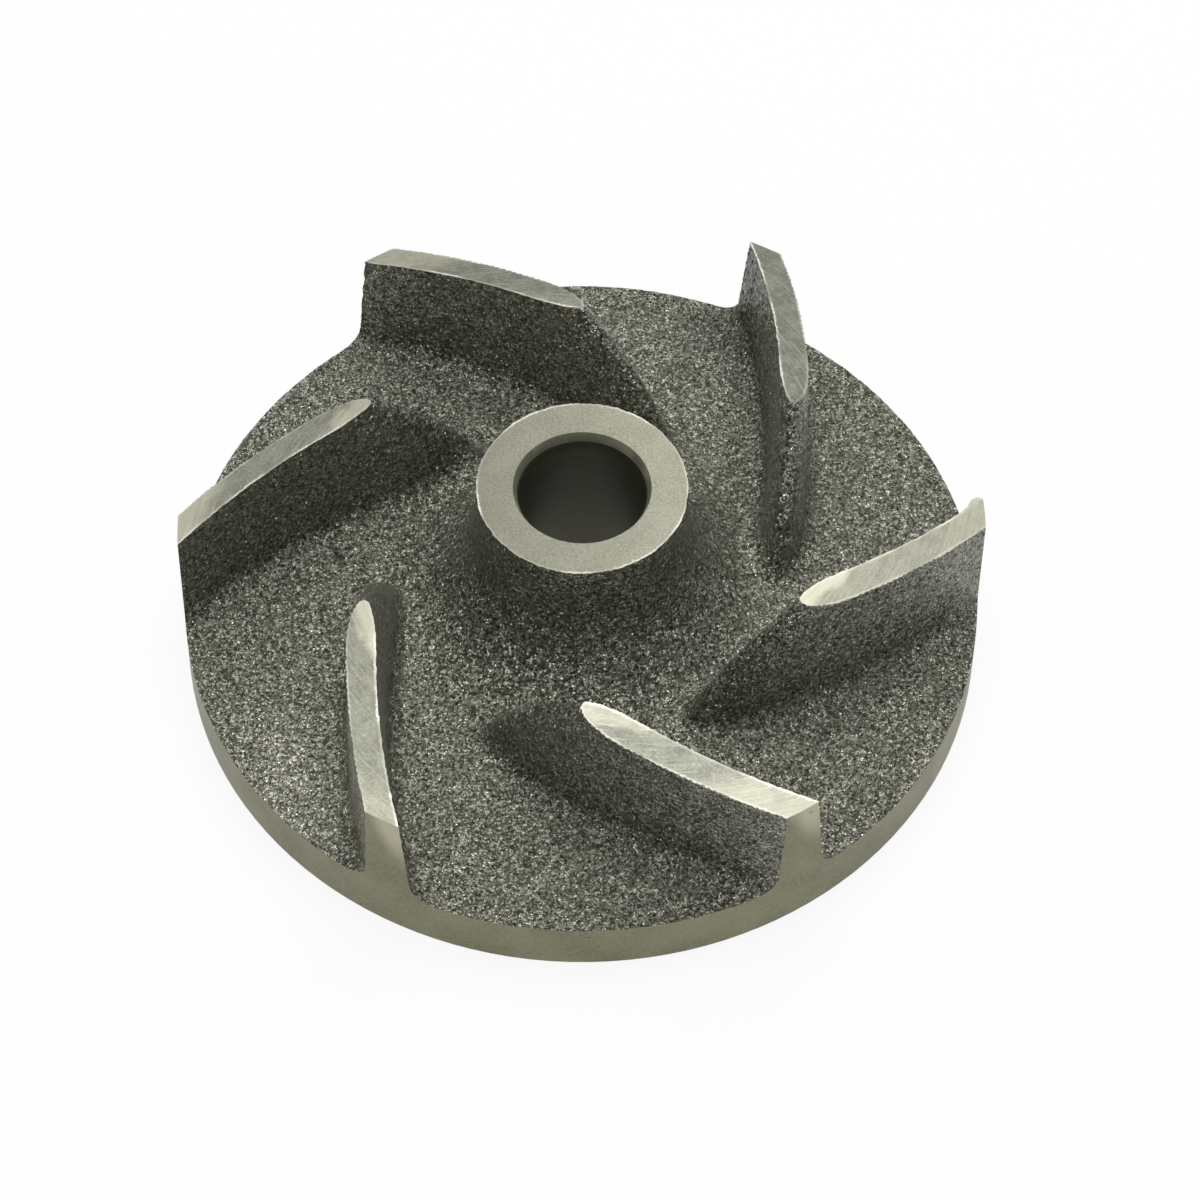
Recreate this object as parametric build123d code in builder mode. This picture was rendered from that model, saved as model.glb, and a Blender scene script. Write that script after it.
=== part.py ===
from build123d import *

import os
from math import atan2, cos, degrees, hypot, radians, sin, tan

# Semi-open pump impeller: one iron casting of a back plate, a flared hub and six curved vanes.
# Turning then gives the hub face, the bore, the vane tops, the outer cylinder and the back face.
# Millimetres. The origin is on the bore axis at the back face, +Z points to the inlet, and the
# middle of the first vane leaves the outer cylinder on +X.

# ---- turned sizes
outer_radius = 59.5
hub_height = 35.6
bore_radius = 9.525  # seat for a 3/4 in shaft
lead_in_radius = 10.15  # mouth of the bore on the inlet side
lead_in_depth = 1.35
back_bore_chamfer = 0.6
back_rim_chamfer = 0.5
vane_height_at_rim = 27.3
vane_top_angle = 13.0  # the turned vane tops rise towards the inlet
turning_allowance = 1.0  # stock that turning takes off the raw casting

# ---- cast plate and hub
rim_thickness = 9.1
plate_rise_angle = 2.5  # the cast face of the plate rises towards the hub
hub_radius = 15.5
hub_draft = 2.0
hub_flare_radius = 17.0

# ---- cast vanes
vane_count = 6
camber_radius = 110.0
outlet_angle = 47.3  # between the vane and the tangent where it leaves the outer cylinder
tip_thickness = 3.9  # at the outer cylinder, at the height of the turned tip
body_thickness = 4.7  # where the nose begins, at that same height
convex_draft = 1.6
concave_draft = 3.8
vane_top_length = 34.6  # along the camber arc, from the outer cylinder to the nose of the top
nose_length = 9.0  # over which the vane closes to its rounded inlet nose
nose_offset = 0.5  # the nose stands off the camber arc, towards the concave side
nose_drop = 19.0  # height from the top of the inlet nose to its foot
nose_run = 16.2  # how far the foot of the nose reaches in past its top
nose_bulge = 0.42  # 0 makes the inlet edge straight, and more makes it rounder
root_fillet = 3.0

# ---- the raw casting is larger than the turned part by the allowance
raw_radius = outer_radius + turning_allowance
raw_hub_height = hub_height + turning_allowance
rise = tan(radians(plate_rise_angle))
raw_rim_height = rim_thickness - turning_allowance * rise
plate_height_at_hub = rim_thickness + (outer_radius - hub_radius) * rise
hub_spread = tan(radians(hub_draft))
hub_foot_radius = hub_radius + (hub_height - plate_height_at_hub) * hub_spread
raw_hub_radius = hub_radius - turning_allowance * hub_spread

# ---- the camber arc, which the middle of every vane follows
lean = radians(90 - outlet_angle)
camber_centre = (outer_radius - camber_radius * sin(lean), camber_radius * cos(lean))
tip_turn = lean - radians(90)


def station(length, offset=0.0):
    """The point a length in from the outer cylinder along the camber arc, then off it."""
    turn = tip_turn - length / camber_radius
    reach = camber_radius + offset
    return (camber_centre[0] + reach * cos(turn), camber_centre[1] + reach * sin(turn))


nose_top_radius = hypot(*station(vane_top_length))
nose_top_height = vane_height_at_rim + (outer_radius - nose_top_radius) * tan(radians(vane_top_angle))
body_length = vane_top_length - nose_length
past_rim = 2 * (body_thickness + turning_allowance)


def nose_station(height):
    """Where the inlet edge stands along the camber arc at a height above the back face."""
    drop = (nose_top_height - height) / nose_drop
    return vane_top_length + nose_run * ((1 + nose_bulge) * drop - nose_bulge * drop * drop)


def side(length, height, draft):
    """How far a drafted side stands off the camber arc."""
    body_share = min(length / body_length, 1)
    thickness = tip_thickness + (body_thickness - tip_thickness) * body_share
    return thickness / 2 + (vane_height_at_rim - height) * tan(radians(draft))


# ---- one raw vane: level sections whose rounded nose reaches further in lower down
section_count = 6
lowest_section = rim_thickness / 2
highest_section = nose_top_height + turning_allowance

with BuildPart() as vane:
    for index in range(section_count):
        height = lowest_section + (highest_section - lowest_section) * index / (section_count - 1)
        shoulder = nose_station(height) - nose_length
        stops = (-past_rim, (shoulder - past_rim) / 2, shoulder)
        convex = [station(stop, side(stop, height, convex_draft)) for stop in stops]
        concave = [station(stop, -side(stop, height, concave_draft)) for stop in stops]
        inwards = degrees(tip_turn - shoulder / camber_radius) - 90
        with BuildSketch(Plane.XY.offset(height)):
            with BuildLine():
                ThreePointArc(*convex)
                EllipticalCenterArc(
                    station(shoulder, -nose_offset),
                    nose_length,
                    side(shoulder, height, convex_draft) + nose_offset,
                    start_angle=0,
                    arc_size=90,
                    rotation=inwards,
                )
                EllipticalCenterArc(
                    station(shoulder, -nose_offset),
                    nose_length,
                    side(shoulder, height, concave_draft) - nose_offset,
                    start_angle=-90,
                    arc_size=90,
                    rotation=inwards,
                )
                ThreePointArc(*concave)
                Line(convex[0], concave[0])
            make_face()
    loft()
    Cylinder(raw_radius, 2 * raw_hub_height, mode=Mode.INTERSECT)

# ---- one sector of the raw casting: the plate and flared hub, a vane and its root fillet
half_pitch = 180 / vane_count
sector_knee = vane_top_length + nose_run / 2
seam_turn = 150  # the seam of the revolved plate stays clear of the vane
blank = Plane.XZ.rotated((0, 0, seam_turn))
middle_of_passage = [station(length) for length in (-past_rim, (sector_knee - past_rim) / 2, sector_knee)]


def turned(point, angle):
    """A point of the plan turned about the bore axis."""
    reach = hypot(*point)
    turn = atan2(point[1], point[0]) + radians(angle)
    return (reach * cos(turn), reach * sin(turn))


with BuildPart() as sector:
    with BuildSketch(blank) as plate_profile:
        with BuildLine():
            Polyline(
                (0, 0),
                (raw_radius, 0),
                (raw_radius, raw_rim_height),
                (hub_foot_radius, plate_height_at_hub),
                (raw_hub_radius, raw_hub_height),
                (0, raw_hub_height),
                close=True,
            )
        make_face()
        foot = plate_profile.vertices().sort_by_distance((hub_foot_radius, plate_height_at_hub))[0]
        fillet(foot, hub_flare_radius)
    revolve(axis=Axis.Z)
    add(vane.part)
    above_plate = sector.edges().filter_by(GeomType.BSPLINE)
    roots = [
        edge
        for edge in above_plate
        if edge.bounding_box().max.Z < nose_top_height - nose_drop
        and hypot(edge.center().X, edge.center().Y) < outer_radius
    ]
    fillet(roots, root_fillet)
    with BuildSketch():
        with BuildLine():
            ahead = [turned(point, half_pitch) for point in middle_of_passage]
            behind = [turned(point, -half_pitch) for point in middle_of_passage]
            ThreePointArc(*ahead)
            Polyline(ahead[-1], (0, 0), behind[-1])
            ThreePointArc(*behind)
            ThreePointArc(ahead[0], (2 * raw_radius, 0), behind[0])
        make_face()
    extrude(amount=raw_hub_height, mode=Mode.INTERSECT)

# ---- the whole casting, then the turning
with BuildPart() as impeller:
    with PolarLocations(0, vane_count):
        add(sector.part)

    # outer cylinder and hub face
    Cylinder(
        outer_radius,
        hub_height,
        align=(Align.CENTER, Align.CENTER, Align.MIN),
        mode=Mode.INTERSECT,
    )

    # vane tops, to a cone that clears the hub
    clear_of_hub = (hub_radius + nose_top_radius) / 2
    with BuildSketch(blank):
        with BuildLine():
            top_rise = tan(radians(vane_top_angle))
            Polyline(
                (raw_radius, vane_height_at_rim - turning_allowance * top_rise),
                (clear_of_hub, vane_height_at_rim + (outer_radius - clear_of_hub) * top_rise),
                (clear_of_hub, 2 * raw_hub_height),
                (raw_radius, 2 * raw_hub_height),
                close=True,
            )
        make_face()
    revolve(axis=Axis.Z, mode=Mode.SUBTRACT)

    # through bore with its lead-in and back chamfer
    with BuildSketch(blank):
        with BuildLine():
            Polyline(
                (0, 0),
                (bore_radius + back_bore_chamfer, 0),
                (bore_radius, back_bore_chamfer),
                (bore_radius, hub_height - lead_in_depth),
                (lead_in_radius, hub_height),
                (0, hub_height),
                close=True,
            )
        make_face()
    revolve(axis=Axis.Z, mode=Mode.SUBTRACT)

    back_rim = impeller.edges().filter_by(GeomType.CIRCLE).group_by(Axis.Z)[0].sort_by(SortBy.RADIUS)
    chamfer([edge for edge in back_rim if edge.radius > lead_in_radius + 1], back_rim_chamfer)

os.makedirs("parts", exist_ok=True)
impeller.part.label = "impeller"
export_step(impeller.part, "parts/impeller.step")
print(
    f"impeller: {impeller.part.volume:.0f} mm3, {len(impeller.solids())} solid, "
    f"{len(impeller.faces())} faces, valid {impeller.part.is_valid}, "
    f"nose top r {nose_top_radius:.2f} z {nose_top_height:.2f}"
)
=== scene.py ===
"""Looks of the pump impeller: a rough grey casting with turned faces.

The casting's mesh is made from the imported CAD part; the floor, the lamps and the camera follow.
"""

import math

import bpy
import numpy as np
from mathutils import Matrix, Vector, kdtree, noise


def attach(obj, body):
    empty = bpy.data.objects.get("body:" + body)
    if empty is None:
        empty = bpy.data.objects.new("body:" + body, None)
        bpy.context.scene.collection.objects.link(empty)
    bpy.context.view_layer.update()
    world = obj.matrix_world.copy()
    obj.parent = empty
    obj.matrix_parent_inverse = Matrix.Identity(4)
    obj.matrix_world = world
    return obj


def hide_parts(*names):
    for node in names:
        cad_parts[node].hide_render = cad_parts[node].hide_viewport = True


MM = 0.001

# The casting's turned surfaces, in millimetres, as the CAD part has them.
OUTER_RADIUS = 59.5
HUB_HEIGHT = 35.6
HUB_RADIUS = 15.5
BORE_RADIUS = 9.525
LEAD_IN_RADIUS = 10.15
LEAD_IN_DEPTH = 1.35
BACK_BORE_CHAMFER = 0.6
BACK_RIM_CHAMFER = 0.5
TOP_AT_RIM = 27.3
TOP_ANGLE = math.radians(13.0)

# The casting's surfaces, in the order of its materials.
KINDS = SKIN, TOP, RIM, RING, BORE, BACK = range(6)

# Longest triangle edges, in millimetres: on the open skin, near an edge or on the rough
# wall, on the skin's own edge, and on the turned surfaces.
COARSE, FINE, SEAM, TURNED = 1.55, 0.48, 0.22, 3.5
NEAR_EDGE, AT_EDGE = 0.7, 0.12
SPLIT_ROUNDS = 60

ON_SURFACE = 0.02  # a vertex this near to a turned surface lies on it
ON_BORE = 0.05
WELD = 0.0005  # vertices of the CAD mesh in one cell of this size are one
CLOSED_UP = 0.0001  # and so are finished vertices in one of this size
EDGE_REACH = 1.0  # how far from an edge its distance is kept

VANES = 6
PITCH = 360 // VANES
SECTOR_START = -45  # in degrees, so that each sector holds one whole vane

# Angle of the vanes' centre line at a radius, in degrees from the tip of the first vane.
CENTRE_LINE = (0.000130781, -0.040638, 4.28473, -138.764)
LAY_SLANT = 0.3  # how far the tops' lines lean off the circles round the axis

# Marks of casting and turning, in millimetres.
TOOTH_PITCH, TOOTH_DEPTH, BURR_OUT = 0.62, 0.12, 0.07
KNOB_OUT, KNOB_AT, KNOB_WIDTH, KNOB_DOWN = 0.8, 58.4, 1.1, 1.6
WAVY_DEPTH, WAVY_IN, WAVY_REACH = 0.42, 0.25, 2.2

# For each vane: how bright the painted highlights on its top's inner end and outer end are, where
# the outer highlight starts, and how bright the painted sheen over the whole top is.
TOP_HIGHLIGHTS = (
    (1.0, 0.5, 52.0, 0.32),
    (0.0, 0.05, 57.0, 0.0),
    (0.2, 0.4, 51.5, 0.0),
    (0.55, 0.65, 53.5, 0.05),
    (0.8, 0.3, 54.5, 0.06),
    (0.4, 0.5, 50.5, 0.0),
)

# Painted light and shade on the cast skin, lighter pools of light and darker shadows: place in
# plan, reach and gain.
PAINTED_LIGHT_PATCHES = (
    ((-42.0, -34.0), 18.0, 0.48),
    ((0.0, -15.0), 13.0, 0.14),
    ((22.0, -18.0), 12.0, -0.18),
    ((-21.0, 24.0), 11.0, -0.15),
    ((24.5, 50.5), 10.0, -0.35),
)

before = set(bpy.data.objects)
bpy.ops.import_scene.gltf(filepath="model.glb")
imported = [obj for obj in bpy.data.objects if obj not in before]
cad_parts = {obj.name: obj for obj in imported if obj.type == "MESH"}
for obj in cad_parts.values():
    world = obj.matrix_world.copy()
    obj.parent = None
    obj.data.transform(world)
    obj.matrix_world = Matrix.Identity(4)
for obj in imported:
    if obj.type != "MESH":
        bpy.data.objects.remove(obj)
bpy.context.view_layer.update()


# ---------------------------------------------------------------- mesh


def cone(radius):
    """Height of the turned vane tops at a radius."""
    return TOP_AT_RIM + (OUTER_RADIUS - radius) * math.tan(TOP_ANGLE)


def has_corners(tri):
    """Which triangles have three different vertices."""
    return (tri[:, 0] != tri[:, 1]) & (tri[:, 1] != tri[:, 2]) & (tri[:, 2] != tri[:, 0])


def kinds_of(co, tri):
    """Which surface each triangle of the CAD mesh lies on."""
    p = co[tri]
    n = np.cross(p[:, 1] - p[:, 0], p[:, 2] - p[:, 0])
    n /= np.maximum(np.linalg.norm(n, axis=1, keepdims=True), 1e-12)
    r = np.hypot(p[:, :, 0], p[:, :, 1])
    z = p[:, :, 2]
    mid = p.mean(1)
    out = (n[:, 0] * mid[:, 0] + n[:, 1] * mid[:, 1]) / np.maximum(
        np.hypot(mid[:, 0], mid[:, 1]), 1e-9
    )
    kind = np.full(len(tri), SKIN)
    near = ON_SURFACE
    kind[(np.abs(z - cone(r)) < near).all(1) & (n[:, 2] > 0.9)] = TOP
    kind[(np.abs(r - OUTER_RADIUS) < near).all(1) & (out > 0.9)] = RIM
    kind[(np.abs(z - HUB_HEIGHT) < near).all(1) & (n[:, 2] > 0.9)] = RING
    kind[(r < LEAD_IN_RADIUS + near).all(1) & (n[:, 2] < 0.9)] = BORE
    kind[(z < BACK_RIM_CHAMFER + near).all(1) & (n[:, 2] < -0.1)] = BACK
    kind[(r < BORE_RADIUS + BACK_BORE_CHAMFER + near).all(1) & (z < 1).all(1)] = BORE
    kind[(np.abs(z) < near).all(1)] = BACK
    return kind


def welded(mesh):
    """Vertices in millimetres and triangles of a mesh, with doubled vertices joined."""
    mesh.calc_loop_triangles()
    co = np.zeros(len(mesh.vertices) * 3)
    mesh.vertices.foreach_get("co", co)
    tri = np.zeros(len(mesh.loop_triangles) * 3, np.int64)
    mesh.loop_triangles.foreach_get("vertices", tri)
    co = co.reshape(-1, 3) / MM
    keys = np.round(co / WELD).astype(np.int64)
    _, first, index = np.unique(keys, axis=0, return_index=True, return_inverse=True)
    tri = index.reshape(-1)[tri].reshape(-1, 3)
    return co[first], tri[has_corners(tri)]


def edges_of(tri, count):
    """Each triangle's three edges as keys, the distinct edges, and where each is."""
    e = np.sort(np.stack([tri, np.roll(tri, -1, 1)], 2), 2)
    key = e[..., 0] * count + e[..., 1]
    distinct, place = np.unique(key, return_inverse=True)
    return distinct, place.reshape(tri.shape)


def split_long(co, tri, kind, limit_of):
    """Halves the longest edges over their limit, round after round, until none is left.

    limit_of takes the vertices, each edge's two ends and the kinds of surface it is on.
    """
    for _ in range(SPLIT_ROUNDS):
        count = len(co)
        distinct, place = edges_of(tri, count)
        a, b = distinct // count, distinct % count
        length = np.linalg.norm(co[a] - co[b], axis=1)
        on = np.zeros((len(distinct), len(KINDS)), bool)
        for k in KINDS:
            on[place[kind == k].ravel(), k] = True
        over = length > limit_of(co, a, b, on)
        own = length[place]
        longest = own >= own.max(1, keepdims=True) * 0.999
        wanted = np.zeros(len(distinct), bool)
        wanted[place[longest & over[place]]] = True
        if not wanted.any():
            return co, tri, kind
        new = np.full(len(distinct), -1)
        new[wanted] = count + np.arange(wanted.sum())
        co = np.concatenate([co, (co[a[wanted]] + co[b[wanted]]) / 2])
        m = new[place]
        marked = (m >= 0).sum(1)
        parts, kinds = [tri[marked == 0]], [kind[marked == 0]]
        # One halved edge: two triangles. Two: three. Three: four.
        for turn in range(3):
            t, q = np.roll(tri, -turn, 1), np.roll(m, -turn, 1)
            one = (marked == 1) & (q[:, 0] >= 0)
            a0, b0, c0, ab = t[one, 0], t[one, 1], t[one, 2], q[one, 0]
            parts += [np.stack([a0, ab, c0], 1), np.stack([ab, b0, c0], 1)]
            kinds += [kind[one]] * 2
            two = (marked == 2) & (q[:, 2] < 0)
            a0, b0, c0 = t[two, 0], t[two, 1], t[two, 2]
            ab, bc = q[two, 0], q[two, 1]
            parts += [
                np.stack([ab, b0, bc], 1),
                np.stack([a0, ab, bc], 1),
                np.stack([a0, bc, c0], 1),
            ]
            kinds += [kind[two]] * 3
        three = marked == 3
        t, q = tri[three], m[three]
        parts += [
            np.stack([t[:, 0], q[:, 0], q[:, 2]], 1),
            np.stack([q[:, 0], t[:, 1], q[:, 1]], 1),
            np.stack([q[:, 2], q[:, 1], t[:, 2]], 1),
            q,
        ]
        kinds += [kind[three]] * 4
        tri, kind = np.concatenate(parts), np.concatenate(kinds)
    return co, tri, kind


def on_surface(co, tri, kind):
    """Puts every vertex of a turned surface exactly on it."""
    member = {k: np.zeros(len(co), bool) for k in (TOP, RIM, RING)}
    for k, m in member.items():
        m[tri[kind == k].ravel()] = True
    r = np.hypot(co[:, 0], co[:, 1])
    m = member[RIM]
    co[m, :2] *= (OUTER_RADIUS / r[m])[:, None]
    r = np.hypot(co[:, 0], co[:, 1])
    m = member[TOP]
    co[m, 2] = cone(r[m])
    co[member[RING], 2] = HUB_HEIGHT
    wall = np.zeros(len(co), bool)
    wall[tri[kind == BORE].ravel()] = True
    r = np.hypot(co[:, 0], co[:, 1])
    wall &= np.abs(r - BORE_RADIUS) < ON_BORE
    co[wall, :2] *= (BORE_RADIUS / r[wall])[:, None]
    return member


def vertex_normals(co, tri, chosen):
    """Area-weighted vertex normals from the chosen triangles only."""
    p = co[tri[chosen]]
    n = np.cross(p[:, 1] - p[:, 0], p[:, 2] - p[:, 0])
    total = np.zeros_like(co)
    for i in range(3):
        np.add.at(total, tri[chosen][:, i], n)
    size = np.linalg.norm(total, axis=1, keepdims=True)
    return total / np.maximum(size, 1e-12)


def vane_places(points):
    """Radius, number of the vane's sector, and distance across from its centre line."""
    r = np.hypot(points[:, 0], points[:, 1])
    angle = np.degrees(np.arctan2(points[:, 1], points[:, 0])) - SECTOR_START
    sector = np.floor(angle / PITCH).astype(int) % VANES
    across = np.radians(angle % PITCH + SECTOR_START - np.polyval(CENTRE_LINE, r)) * r
    return r, sector, across


def near_wall(points):
    """The hollow wall of the vane that is seen edge on, where the grain stands out."""
    r, sector, across = vane_places(points)
    return (sector == 1) & (across > 0.5) & (across < 5) & (r > 36) & (points[:, 2] > 11)


def tree_of(points):
    """A tree of points to find the nearest in."""
    tree = kdtree.KDTree(len(points))
    for i, p in enumerate(points):
        tree.insert(p, i)
    tree.balance()
    return tree


def seam_vertices(co, tri, kind):
    """Which vertices lie between the skin and a turned surface, and which on the skin."""
    skin = np.zeros(len(co), bool)
    turned = np.zeros(len(co), bool)
    skin[tri[kind == SKIN].ravel()] = True
    turned[tri[kind != SKIN].ravel()] = True
    return skin & turned, skin


def wave(points, size, seed):
    """Smooth noise of a given size in millimetres, from -1 to 1."""
    shift = Vector((seed * 17.3, seed * 5.9, seed * 11.1))
    return np.array([noise.noise(Vector(p) / size + shift) for p in points])


def joined(co, tri, kind):
    """Vertices that ended up in one place become one, and closed-up triangles go."""
    places = np.round(co / CLOSED_UP).astype(np.int64)
    _, first, place = np.unique(places, axis=0, return_index=True, return_inverse=True)
    tri = place.ravel()[tri]
    whole = has_corners(tri)
    return first, tri[whole], kind[whole]


def refined(co, tri, kind):
    """Finer triangles, finest along the skin's edges, and each vertex's way to an edge."""
    co, tri, kind = split_long(
        co, tri, kind, lambda co, a, b, on: np.where(on[:, SKIN], COARSE, TURNED)
    )
    seam, _ = seam_vertices(co, tri, kind)
    tree = tree_of(co[seam])
    far = []

    def near_seams(co, a, b, on):
        far.extend(tree.find(p)[2] for p in co[len(far) :])
        away = np.array(far)
        nearest = np.minimum(away[a], away[b])
        furthest = np.maximum(away[a], away[b])
        skin = on[:, SKIN]
        limit = np.where(skin, COARSE, TURNED)
        limit[(skin | on[:, TOP] | on[:, RING]) & (nearest < NEAR_EDGE)] = FINE
        limit[skin & near_wall((co[a] + co[b]) / 2)] = FINE
        limit[skin & (furthest < AT_EDGE)] = SEAM
        return limit

    co, tri, kind = split_long(co, tri, kind, near_seams)
    return co, tri, kind, np.array(far)


def skin_shift(p, edge, top_edge):
    """How far, in millimetres, each point of the skin stands out from the smooth form."""
    r, sector, across = vane_places(p)
    swell = 0.07 * wave(p, 5.5, 1) + 0.06 * wave(p, 2.1, 2)
    teeth = 0.09 * wave(p, 1.3, 3) + 0.12 * wave(p, 0.42, 4)
    shift = swell + np.where(edge, teeth, 0.25 * teeth)
    # The cutter left regular teeth on one edge of the tops and pushed a burr over the other.
    feed = TOOTH_DEPTH * np.sin(2 * math.pi * r / TOOTH_PITCH + sector)
    feed = feed * (0.7 + 0.6 * wave(p, 4.0, 6))
    shift += np.where(top_edge & (across < 0) & (r < 59), feed, 0)
    shift += np.where(top_edge & (across > 0), BURR_OUT, 0)
    shift += np.where(near_wall(p) & ~edge, 0.11 * wave(p, 0.75, 5), 0)
    # A knob of burr stands on one vane's outer corner, and another vane's end is wavy.
    knob = (sector == 0) & (across > 0) & (r > 54)
    below = np.clip((cone(r) - p[:, 2]) / KNOB_DOWN, 0, 1)
    hump = np.exp(-(((r - KNOB_AT) / KNOB_WIDTH) ** 2))
    shift += np.where(knob, KNOB_OUT * hump * (1 - below), 0)
    wavy = (sector == 2) & (across > 0) & (p[:, 2] > 12)
    near_end = np.clip(1 - (OUTER_RADIUS - r) / WAVY_REACH, 0, 1)
    shift += np.where(wavy, (WAVY_DEPTH * wave(p, 2.0, 7) - WAVY_IN) * near_end, 0)
    return shift


def roughened(co, tri, kind, member):
    """Moves the skin's vertices off the smooth form, in place."""
    seam, skin_vertex = seam_vertices(co, tri, kind)
    normal = vertex_normals(co, tri, kind == SKIN)
    turned_normal = vertex_normals(co, tri, kind != SKIN)
    at = np.where(skin_vertex)[0]
    edge = seam[at]
    shift = skin_shift(co[at], edge, edge & member[TOP][at])
    step = normal[at] * shift[:, None]
    # A vertex on a turned edge moves only within the turned surface.
    through = (step * turned_normal[at]).sum(1, keepdims=True) * turned_normal[at]
    step = np.where(edge[:, None], step - through, step)
    # Corners where two turned surfaces meet stay put.
    shared = sum(m.astype(int) for m in member.values())
    step[shared[at] > 1] = 0
    co[at] += step
    on_surface(co, tri, kind)


def cast_and_turned_mesh(source):
    """The CAD mesh with finer triangles, a slightly uneven skin and ragged turned edges."""
    co, tri = welded(source)
    co, tri, kind, far = refined(co, tri, kinds_of(co, tri))
    member = on_surface(co, tri, kind)
    seam, _ = seam_vertices(co, tri, kind)
    # How far each vertex is from the edge of a vane top or of the hub's ring.
    tree = tree_of(co[seam & (member[TOP] | member[RING])])
    edge_distance = np.ones(len(co), np.float32)
    for i in np.where(far < EDGE_REACH + 0.2)[0]:
        edge_distance[i] = min(tree.find(co[i])[2], EDGE_REACH)
    roughened(co, tri, kind, member)
    first, tri, kind = joined(co, tri, kind)
    co, edge_distance = co[first], edge_distance[first]
    mesh = bpy.data.meshes.new("impeller_casting")
    mesh.from_pydata((co * MM).tolist(), [], tri.tolist())
    mesh.polygons.foreach_set("material_index", kind.astype(np.int32))
    mesh.polygons.foreach_set("use_smooth", np.ones(len(tri), bool))
    edge = mesh.attributes.new("edge_distance", "FLOAT", "POINT")
    edge.data.foreach_set("value", edge_distance)
    # The tops' painted highlight zones and lay lines run a little aslant to the circles round the
    # axis.
    r, sector, across = vane_places(co)
    top_highlights = np.array(TOP_HIGHLIGHTS)[sector]
    lay_and_sheen = np.stack([r - LAY_SLANT * across, across, top_highlights[:, 3]], 1)
    for name, value in (("lay_and_sheen", lay_and_sheen), ("top_highlights", top_highlights[:, :3])):
        made = mesh.attributes.new(name, "FLOAT_VECTOR", "POINT")
        made.data.foreach_set("vector", value.astype(np.float32).ravel())
    mesh.update()
    return mesh


def keep_edges_sharp(mesh):
    """Marks the edges between two kinds of surface as sharp."""
    index = np.zeros(len(mesh.polygons), np.int32)
    mesh.polygons.foreach_get("material_index", index)
    loop_edge = np.zeros(len(mesh.loops), np.int32)
    mesh.loops.foreach_get("edge_index", loop_edge)
    owner = index[np.repeat(np.arange(len(mesh.polygons)), 3)]
    lowest = np.full(len(mesh.edges), len(KINDS))
    highest = np.full(len(mesh.edges), -1)
    np.minimum.at(lowest, loop_edge, owner)
    np.maximum.at(highest, loop_edge, owner)
    sharp = mesh.attributes.get("sharp_edge") or mesh.attributes.new(
        "sharp_edge", "BOOLEAN", "EDGE"
    )
    sharp.data.foreach_set("value", lowest != highest)


# ---------------------------------------------------------------- materials


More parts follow.
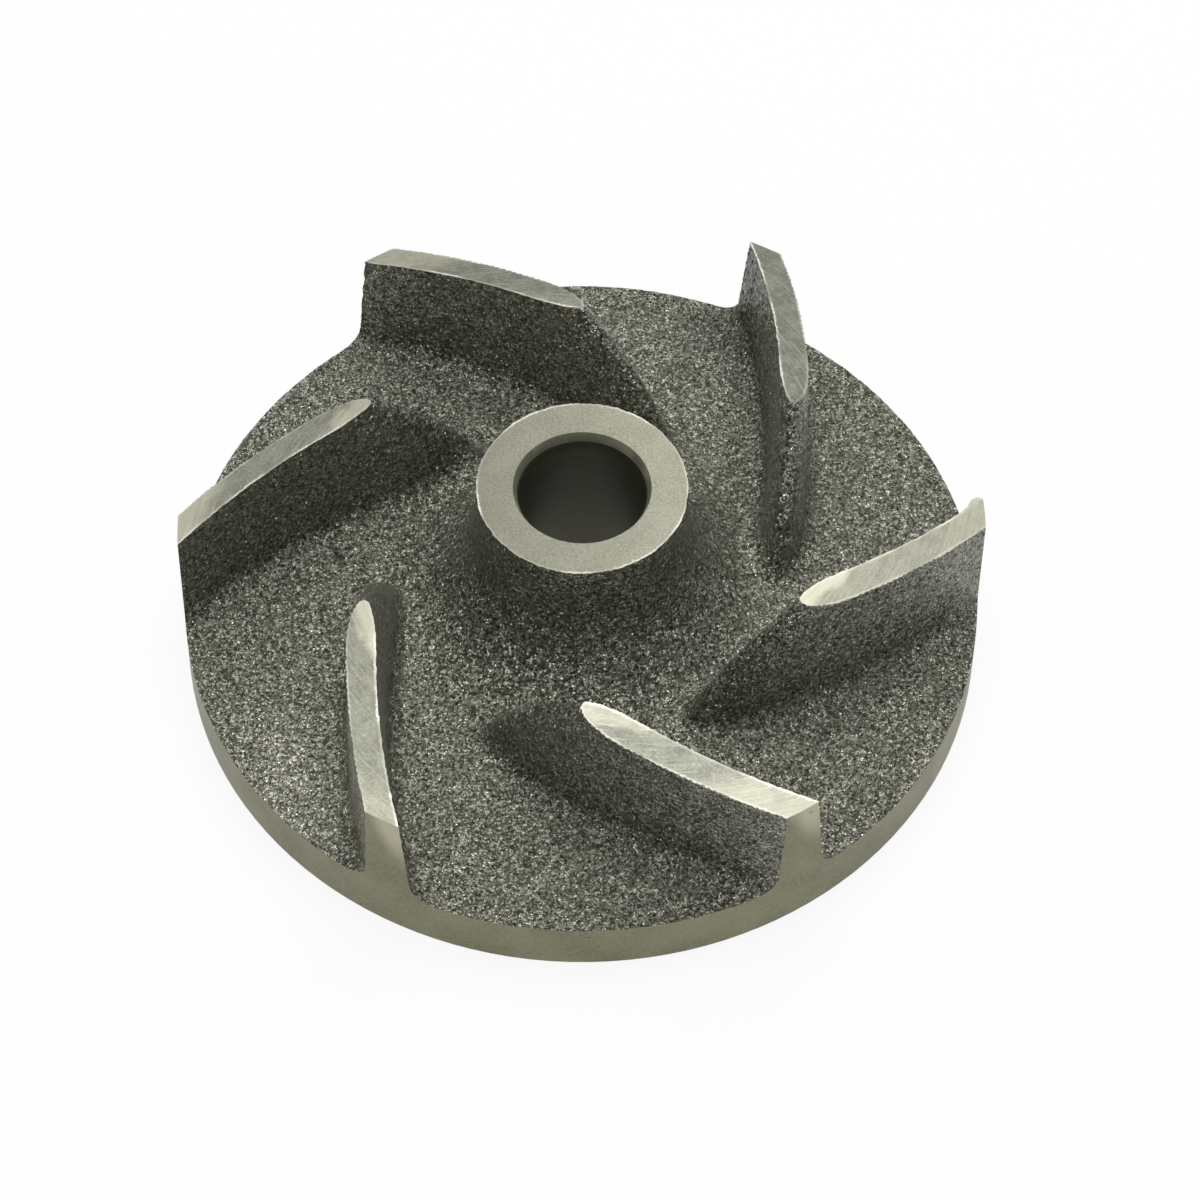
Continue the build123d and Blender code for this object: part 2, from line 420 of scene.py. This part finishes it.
class Nodes:
    """A node tree with short calls for the nodes used here."""

    def __init__(self, name):
        self.material = bpy.data.materials.new(name)
        self.material.use_nodes = True
        self.tree = self.material.node_tree
        self.tree.nodes.clear()
        self.output = self.tree.nodes.new("ShaderNodeOutputMaterial")
        coords = self.tree.nodes.new("ShaderNodeTexCoord")
        self.mm = self.vector("SCALE", coords.outputs["Object"], scale=1 / MM)

    def put(self, socket, value):
        if isinstance(value, bpy.types.NodeSocket):
            self.tree.links.new(value, socket)
        elif value is not None:
            socket.default_value = value

    def node(self, kind, **settings):
        n = self.tree.nodes.new(kind)
        for key, value in settings.items():
            setattr(n, key, value)
        return n

    def vector(self, operation, a, b=None, scale=None):
        n = self.node("ShaderNodeVectorMath", operation=operation)
        self.put(n.inputs[0], a)
        self.put(n.inputs[1], b)
        if scale is not None:
            self.put(n.inputs["Scale"], scale)
        return n.outputs["Value" if operation == "LENGTH" else "Vector"]

    def math(self, operation, a, b=None):
        n = self.node("ShaderNodeMath", operation=operation)
        for socket, value in zip(n.inputs, (a, b)):
            self.put(socket, value)
        return n.outputs[0]

    def times(self, a, b):
        return self.math("MULTIPLY", a, b)

    def plus(self, a, b):
        return self.math("ADD", a, b)

    def minus(self, a, b):
        return self.math("SUBTRACT", a, b)

    def split(self, vector):
        n = self.node("ShaderNodeSeparateXYZ")
        self.put(n.inputs[0], vector)
        return n.outputs

    def join(self, x, y, z):
        n = self.node("ShaderNodeCombineXYZ")
        for socket, value in zip(n.inputs, (x, y, z)):
            self.put(socket, value)
        return n.outputs[0]

    def stretched(self, *pairs):
        """A place made of three values, each times its own number."""
        return self.join(*(self.times(value, scale) for value, scale in pairs))

    def noise(self, vector, scale, detail=2.0, roughness=0.5):
        n = self.node("ShaderNodeTexNoise")
        self.put(n.inputs["Vector"], vector)
        n.inputs["Scale"].default_value = scale
        n.inputs["Detail"].default_value = detail
        n.inputs["Roughness"].default_value = roughness
        return n.outputs["Fac"]

    def voronoi(self, vector, scale):
        n = self.node("ShaderNodeTexVoronoi")
        self.put(n.inputs["Vector"], vector)
        n.inputs["Scale"].default_value = scale
        return n.outputs

    def ramp(self, value, low, high, smooth=True, start=0.0, end=1.0):
        n = self.node(
            "ShaderNodeMapRange",
            interpolation_type="SMOOTHSTEP" if smooth else "LINEAR",
        )
        self.put(n.inputs["Value"], value)
        for socket, x in zip(("From Min", "From Max", "To Min", "To Max"), (low, high, start, end)):
            n.inputs[socket].default_value = x
        return n.outputs["Result"]

    def mix(self, factor, a, b):
        n = self.node("ShaderNodeMix", data_type="RGBA")
        self.put(n.inputs["Factor"], factor)
        self.put(n.inputs[6], a)
        self.put(n.inputs[7], b)
        return n.outputs[2]

    def bump(self, height, distance):
        n = self.node("ShaderNodeBump")
        n.inputs["Strength"].default_value = 1.0
        n.inputs["Distance"].default_value = distance * MM
        self.put(n.inputs["Height"], height)
        return n.outputs["Normal"]

    def finish(self, color, metallic, roughness, normal):
        s = self.node("ShaderNodeBsdfPrincipled")
        self.put(s.inputs["Base Color"], color)
        self.put(s.inputs["Metallic"], metallic)
        self.put(s.inputs["Roughness"], roughness)
        self.put(s.inputs["Normal"], normal)
        self.tree.links.new(s.outputs[0], self.output.inputs["Surface"])
        return self.material

    def attribute(self, name, output="Vector"):
        return self.node("ShaderNodeAttribute", attribute_name=name).outputs[output]

    def burr_line(self, wobble, low, high, strength):
        """A thin line along the turned tops' and ring's edges, ragged, that comes and goes."""
        away = self.attribute("edge_distance", "Fac")
        wobble = self.times(self.minus(wobble, 0.5), 0.8)
        line = self.ramp(self.plus(away, wobble), low, high, start=1.0, end=0.0)
        comes = self.ramp(self.noise(self.mm, 0.13, detail=2.0), 0.42, 0.60, start=0.25, end=1.0)
        return self.times(self.times(line, comes), strength)

    def radius(self):
        x, y, _ = self.split(self.mm)
        return self.vector("LENGTH", self.join(x, y, 0.0))


def rgb(r, g, b):
    """A colour given as it shows on screen, from 0 to 255."""
    return tuple(((c / 255) ** 2.2) for c in (r, g, b)) + (1.0,)


def cast_skin():
    """Rough sand-cast grey iron: small crystal-like grains that glint on a darker ground."""
    n = Nodes("cast_skin")
    lumps = n.noise(n.mm, 0.50, detail=2.0)
    grains = n.noise(n.mm, 1.7, detail=3.0, roughness=0.62)
    tone = n.noise(n.mm, 0.16, detail=3.0)
    cells = n.voronoi(n.mm, 2.2)
    small = n.voronoi(n.mm, 4.0)
    height = n.plus(n.times(lumps, 0.6), grains)
    rough = n.bump(height, 0.34)
    half = (0.5, 0.5, 0.5)
    tilt = n.vector("SCALE", n.vector("SUBTRACT", cells["Color"], half), scale=1.0)
    little = n.vector("SCALE", n.vector("SUBTRACT", small["Color"], half), scale=0.65)
    facets = n.vector("NORMALIZE", n.vector("ADD", rough, n.vector("ADD", tilt, little)))
    gap = n.ramp(small["Distance"], 0.35, 0.85)
    chance = n.split(small["Color"])
    color = n.mix(chance[0], rgb(108, 108, 97), rgb(194, 194, 176))
    color = n.mix(n.times(gap, 0.7), color, rgb(46, 46, 39))
    color = n.mix(n.ramp(grains, 0.34, 0.56, start=0.75, end=0.0), color, rgb(44, 44, 37))
    color = n.mix(n.ramp(tone, 0.3, 0.7, start=0.0, end=0.25), color, rgb(108, 108, 94))
    # Painted glints: a few grains are painted nearly white; each is smaller than its cell.
    middle = n.ramp(small["Distance"], 0.30, 0.50, start=1.0, end=0.0)
    painted_grain_glints = n.times(n.ramp(chance[1], 0.87, 0.90), middle)
    color = n.mix(painted_grain_glints, color, rgb(250, 250, 235))
    x, y, _ = n.split(n.mm)
    # Painted light and shade: the skin is made lighter or darker in patches where light or shadow
    # falls.
    painted_light_gain = 1.0
    for (at_x, at_y), reach, gain in PAINTED_LIGHT_PATCHES:
        off = n.join(n.minus(x, at_x), n.minus(y, at_y), 0.0)
        painted_spot = n.ramp(n.vector("LENGTH", off), 0.25 * reach, reach, start=gain, end=0.0)
        painted_light_gain = n.plus(painted_spot, painted_light_gain)
    color = n.vector("SCALE", color, scale=painted_light_gain)
    # Burrs from the turning show as a thin bright line that comes and goes.
    line = n.burr_line(grains, 0.14, 0.34, 0.9)
    color = n.mix(line, color, rgb(226, 225, 206))
    return n.finish(color, 0.60, n.ramp(line, 0.0, 1.0, start=0.29, end=0.45), facets)


def turned_top():
    """The vane tops, turned on a lathe: fine lines, painted highlights at the ends, a bright burr.
    """
    n = Nodes("turned_top")
    aslant, across, painted_sheen = n.split(n.attribute("lay_and_sheen"))
    inner_gain, outer_gain, outer_from = n.split(n.attribute("top_highlights"))
    r = n.radius()
    lay = n.stretched((aslant, 2.6), (r, 0.10), (across, 0.12))
    lines = n.noise(lay, 1.0, detail=3.0, roughness=0.75)
    scratch = n.stretched((aslant, 4.2), (r, 0.12), (across, 0.2))
    scratches = n.noise(scratch, 1.0, detail=1.0)
    speckle = n.noise(n.mm, 3.0, detail=2.0, roughness=0.6)
    tone = n.noise(n.mm, 0.30, detail=2.0)
    patch = n.noise(n.mm, 0.45, detail=1.0)
    wobble = n.times(n.minus(tone, 0.5), 4.0)
    reach = n.plus(aslant, wobble)
    # Painted highlights on the tops' inner and outer ends, and a painted sheen over some whole
    # tops, as the light falls on each vane.
    inner = n.times(n.ramp(reach, 38.2, 41.0, start=1.0, end=0.0), inner_gain)
    past = n.minus(reach, outer_from)
    outer = n.times(n.ramp(past, -1.8, 3.2), outer_gain)
    painted_ends = n.math("MAXIMUM", n.math("MAXIMUM", inner, outer), painted_sheen)
    color = n.mix(n.ramp(patch, 0.40, 0.60), rgb(120, 121, 109), rgb(137, 138, 125))
    bright = n.times(painted_ends, n.ramp(lines, 0.25, 0.6, start=0.7, end=1.0))
    color = n.mix(bright, color, rgb(220, 218, 194))
    color = n.mix(n.ramp(lines, 0.42, 0.66, start=0.0, end=0.32), color, rgb(92, 92, 80))
    scratched = n.ramp(patch, 0.4, 0.6, start=0.32, end=0.10)
    scratched = n.times(n.ramp(scratches, 0.58, 0.72), scratched)
    color = n.mix(scratched, color, rgb(222, 221, 202))
    color = n.mix(n.ramp(speckle, 0.42, 0.75, end=0.22), color, rgb(225, 224, 208))
    # The burr is bright along the hollow side and fainter along the other.
    side = n.ramp(across, -0.6, 0.6, start=0.45, end=1.0)
    burr = n.times(n.burr_line(speckle, 0.14, 0.34, 0.85), side)
    color = n.mix(burr, color, rgb(244, 243, 228))
    height = n.plus(lines, n.times(speckle, 0.25))
    normal = n.bump(height, 0.020)
    return n.finish(color, 0.55, n.ramp(tone, 0.3, 0.7, start=0.40, end=0.48), normal)


def turned_rim():
    """The rim and the vane tips, turned to the outer diameter: satin, with a few small pits."""
    n = Nodes("turned_rim")
    x, y, z = n.split(n.mm)
    angle = n.math("ARCTAN2", y, x)
    round_rim = n.times(angle, OUTER_RADIUS)
    speckle = n.noise(n.mm, 2.4, detail=3.0, roughness=0.65)
    tone = n.noise(n.mm, 0.10, detail=3.0)
    streak = n.noise(n.stretched((x, 0.12), (y, 0.12), (z, 1.3)), 1.0, detail=2.0)
    spots = n.voronoi(n.join(n.times(round_rim, 0.45), z, 0.0), 0.34)["Distance"]
    pit = n.ramp(spots, 0.03, 0.07, start=1.0, end=0.0)
    color = n.mix(n.ramp(tone, 0.3, 0.7), rgb(105, 104, 74), rgb(130, 128, 97))
    color = n.mix(n.ramp(speckle, 0.30, 0.72, end=0.4), color, rgb(166, 163, 134))
    # Painted highlight: the tips are brighter towards the turned tops and the concave side, where
    # the light falls.
    turns = n.times(angle, VANES / (2 * math.pi))
    beside = n.times(n.minus(turns, n.math("ROUND", turns)), float(PITCH))
    lit_side = n.plus(beside, n.times(n.minus(z, 24.0), 0.35))
    tip_highlight = n.times(n.ramp(z, 15.0, 25.0), n.ramp(lit_side, -2.2, 1.2))
    color = n.mix(n.times(tip_highlight, 0.75), color, rgb(206, 201, 172))
    color = n.mix(n.times(pit, 0.8), color, rgb(58, 54, 42))
    height = n.plus(n.times(streak, 0.25), n.times(speckle, 0.45))
    height = n.minus(height, pit)
    normal = n.bump(height, 0.03)
    return n.finish(color, 0.35, 0.44, normal)


def turned_ring():
    """The hub's faced end: smooth, with a faint lay round the bore."""
    n = Nodes("turned_ring")
    r = n.radius()
    x, y, _ = n.split(n.mm)
    lay = n.stretched((r, 5.0), (x, 0.3), (y, 0.3))
    lines = n.noise(lay, 1.0, detail=2.0)
    grain = n.noise(n.mm, 3.2, detail=3.0, roughness=0.7)
    cloud = n.noise(n.mm, 0.22, detail=2.0)
    mottle = n.noise(n.mm, 1.3, detail=3.0, roughness=0.6)
    color = n.mix(n.ramp(grain, 0.3, 0.7), rgb(112, 112, 98), rgb(144, 144, 127))
    color = n.mix(n.ramp(cloud, 0.35, 0.65, end=0.2), color, rgb(158, 158, 141))
    color = n.mix(n.ramp(mottle, 0.52, 0.68, end=0.35), color, rgb(112, 112, 97))
    # Painted glints, stronger towards the bore.
    painted_glints = n.times(n.ramp(grain, 0.66, 0.74), n.ramp(r, 10.6, 13.5, start=0.8, end=0.1))
    color = n.mix(painted_glints, color, rgb(225, 224, 210))
    # Painted light: one side is brighter than the other, as the light falls on it.
    side = n.ramp(x, -14.0, 14.0, start=0.84, end=1.22, smooth=False)
    color = n.vector("SCALE", color, scale=side)
    color = n.mix(n.burr_line(grain, 0.12, 0.32, 0.65), color, rgb(236, 235, 220))
    normal = n.bump(n.plus(lines, n.times(grain, 0.8)), 0.012)
    return n.finish(color, 0.45, 0.45, normal)


def bore_wall():
    """The reamed bore, with painted shade that darkens it with depth, and its lead-in, brighter
    partly by its own satin turning and partly by painted light.
    """
    n = Nodes("bore_wall")
    x, y, z = n.split(n.mm)
    lay = n.stretched((z, 3.0), (x, 0.08), (y, 0.08))
    lines = n.noise(lay, 1.0, detail=2.0)
    blotch = n.noise(n.mm, 0.22, detail=2.0)
    color = n.mix(n.ramp(lines, 0.3, 0.7), rgb(80, 82, 66), rgb(88, 90, 73))
    # Painted shade: the bore darkens with depth.
    depth_shade = n.ramp(z, 8.0, 26.0, start=0.85, end=0.0, smooth=False)
    color = n.mix(depth_shade, color, rgb(70, 66, 38))
    color = n.mix(n.ramp(blotch, 0.35, 0.7, end=0.25), color, rgb(70, 64, 46))
    start = HUB_HEIGHT - LEAD_IN_DEPTH
    lead_in = n.ramp(z, start - 0.10, start - 0.04)
    # The lead-in is brighter, partly its own satin turning and partly painted light on its wall.
    lead_in_light = n.mix(n.ramp(blotch, 0.4, 0.6), rgb(150, 149, 131), rgb(182, 181, 162))
    color = n.mix(lead_in, color, lead_in_light)
    normal = n.bump(lines, 0.006)
    return n.finish(color, 0.35, n.ramp(lead_in, 0.0, 1.0, start=0.5, end=0.42), normal)


def turned_back():
    """The faced back, which isn't in view: turned lines round the axis."""
    n = Nodes("turned_back")
    x, y, _ = n.split(n.mm)
    r = n.radius()
    lay = n.stretched((r, 3.4), (x, 0.07), (y, 0.07))
    lines = n.noise(lay, 1.0, detail=3.0)
    tone = n.noise(n.mm, 0.08, detail=3.0)
    color = n.mix(n.ramp(tone, 0.35, 0.65), rgb(138, 137, 122), rgb(160, 159, 144))
    normal = n.bump(lines, 0.015)
    return n.finish(color, 0.5, 0.42, normal)


# ---------------------------------------------------------------- the casting

mesh = cast_and_turned_mesh(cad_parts["impeller"].data)
casting = bpy.data.objects.new("impeller_casting", mesh)
bpy.context.scene.collection.objects.link(casting)
for make in (cast_skin, turned_top, turned_rim, turned_ring, bore_wall, turned_back):
    mesh.materials.append(make())
keep_edges_sharp(mesh)
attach(casting, "root")
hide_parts("impeller")

# ---------------------------------------------------------------- floor and light


FLOOR_SIZE, FLOOR_BELOW = 6, 0.00005
FLOOR_COLOR, FLOOR_SEEN_WHITE = 0.9, 0.9
LAMP_DISTANCE, LAMP_SIZE = 1.25, 0.9
WORLD_STRENGTH = 0.18


def white_floor():
    """Matt white that looks nearly plain white to the camera and keeps a faint shadow."""
    material = bpy.data.materials.new("floor_white")
    material.use_nodes = True
    tree = material.node_tree
    tree.nodes.clear()
    out = tree.nodes.new("ShaderNodeOutputMaterial")
    diffuse = tree.nodes.new("ShaderNodeBsdfDiffuse")
    diffuse.inputs["Color"].default_value = (FLOOR_COLOR,) * 3 + (1,)
    glow = tree.nodes.new("ShaderNodeEmission")
    glow.inputs["Color"].default_value = (1, 1, 1, 1)
    glow.inputs["Strength"].default_value = 1.0
    path = tree.nodes.new("ShaderNodeLightPath")
    seen = path.outputs["Is Camera Ray"]
    for other in ("Is Glossy Ray", "Is Transmission Ray"):
        either = tree.nodes.new("ShaderNodeMath")
        either.operation = "MAXIMUM"
        tree.links.new(seen, either.inputs[0])
        tree.links.new(path.outputs[other], either.inputs[1])
        seen = either.outputs[0]
    part = tree.nodes.new("ShaderNodeMath")
    part.operation = "MULTIPLY"
    tree.links.new(seen, part.inputs[0])
    part.inputs[1].default_value = FLOOR_SEEN_WHITE
    mix = tree.nodes.new("ShaderNodeMixShader")
    tree.links.new(part.outputs[0], mix.inputs[0])
    tree.links.new(diffuse.outputs[0], mix.inputs[1])
    tree.links.new(glow.outputs[0], mix.inputs[2])
    tree.links.new(mix.outputs[0], out.inputs[0])
    return material


floor_mesh = bpy.data.meshes.new("floor")
corners = ((-1, -1), (1, -1), (1, 1), (-1, 1))
floor_mesh.from_pydata([(x * FLOOR_SIZE, y * FLOOR_SIZE, 0) for x, y in corners], [], [range(4)])
floor = bpy.data.objects.new("floor", floor_mesh)
floor.location.z = -FLOOR_BELOW
bpy.context.scene.collection.objects.link(floor)
floor_mesh.materials.append(white_floor())


def softbox(name, azimuth, elevation, power):
    """A square lamp aimed at the part; azimuth 0 is behind it."""
    a, e = math.radians(azimuth), math.radians(elevation)
    way = Vector((math.sin(a) * math.cos(e), math.cos(a) * math.cos(e), math.sin(e)))
    place = way * LAMP_DISTANCE
    data = bpy.data.lights.new(name, "AREA")
    data.shape = "RECTANGLE"
    data.size = data.size_y = LAMP_SIZE
    data.energy = power
    lamp = bpy.data.objects.new(name, data)
    lamp.location = place
    way = Vector((0, 0, 0)) - place
    lamp.rotation_euler = way.to_track_quat("-Z", "Y").to_euler()
    bpy.context.scene.collection.objects.link(lamp)


softbox("softbox_top", 0, 90, 9.4)
softbox("softbox_back", 0, 55, 4.8)
softbox("softbox_right", 45, 55, 2.4)

world = bpy.data.worlds.new("studio")
world.use_nodes = True
background = world.node_tree.nodes["Background"]
background.inputs["Color"].default_value = (1, 1, 1, 1)
background.inputs["Strength"].default_value = WORLD_STRENGTH
bpy.context.scene.world = world
bpy.context.scene.view_settings.view_transform = "Standard"

# ---------------------------------------------------------------- camera

# Focal length and shifts are in pixels of a picture this wide; the distance is in outer
# radii; the angles are in degrees.
PICTURE_PIXELS, SENSOR_WIDTH = 1200, 36
FOCAL_PIXELS, ELEVATION, ROLL, TURN = 4713.84, 54.5225, 0.7482, 2.5
DISTANCE, SHIFT_X, SHIFT_Y = 12.0454, -18.814, 27.735
unit = OUTER_RADIUS * MM
e, roll = math.radians(ELEVATION), math.radians(ROLL)
right0 = Vector((1, 0, 0))
ahead = Vector((0, math.cos(e), -math.sin(e)))
up0 = Vector((0, math.sin(e), math.cos(e)))
right = math.cos(roll) * right0 + math.sin(roll) * up0
up = -math.sin(roll) * right0 + math.cos(roll) * up0
place = -(
    DISTANCE * ahead
    + SHIFT_X * DISTANCE / FOCAL_PIXELS * right
    - SHIFT_Y * DISTANCE / FOCAL_PIXELS * up
)
turn = Matrix.Rotation(-math.radians(TURN), 3, "Z")
right, up, ahead, place = (turn @ v for v in (right, up, ahead, place))
data = bpy.data.cameras.new("camera")
data.sensor_width = SENSOR_WIDTH
data.lens = FOCAL_PIXELS / PICTURE_PIXELS * SENSOR_WIDTH
data.clip_start, data.clip_end = 0.01, 20
camera = bpy.data.objects.new("camera", data)
basis = Matrix((right, up, -ahead)).transposed().to_4x4()
camera.matrix_world = Matrix.Translation(place * unit) @ basis
bpy.context.scene.collection.objects.link(camera)
bpy.context.scene.camera = camera
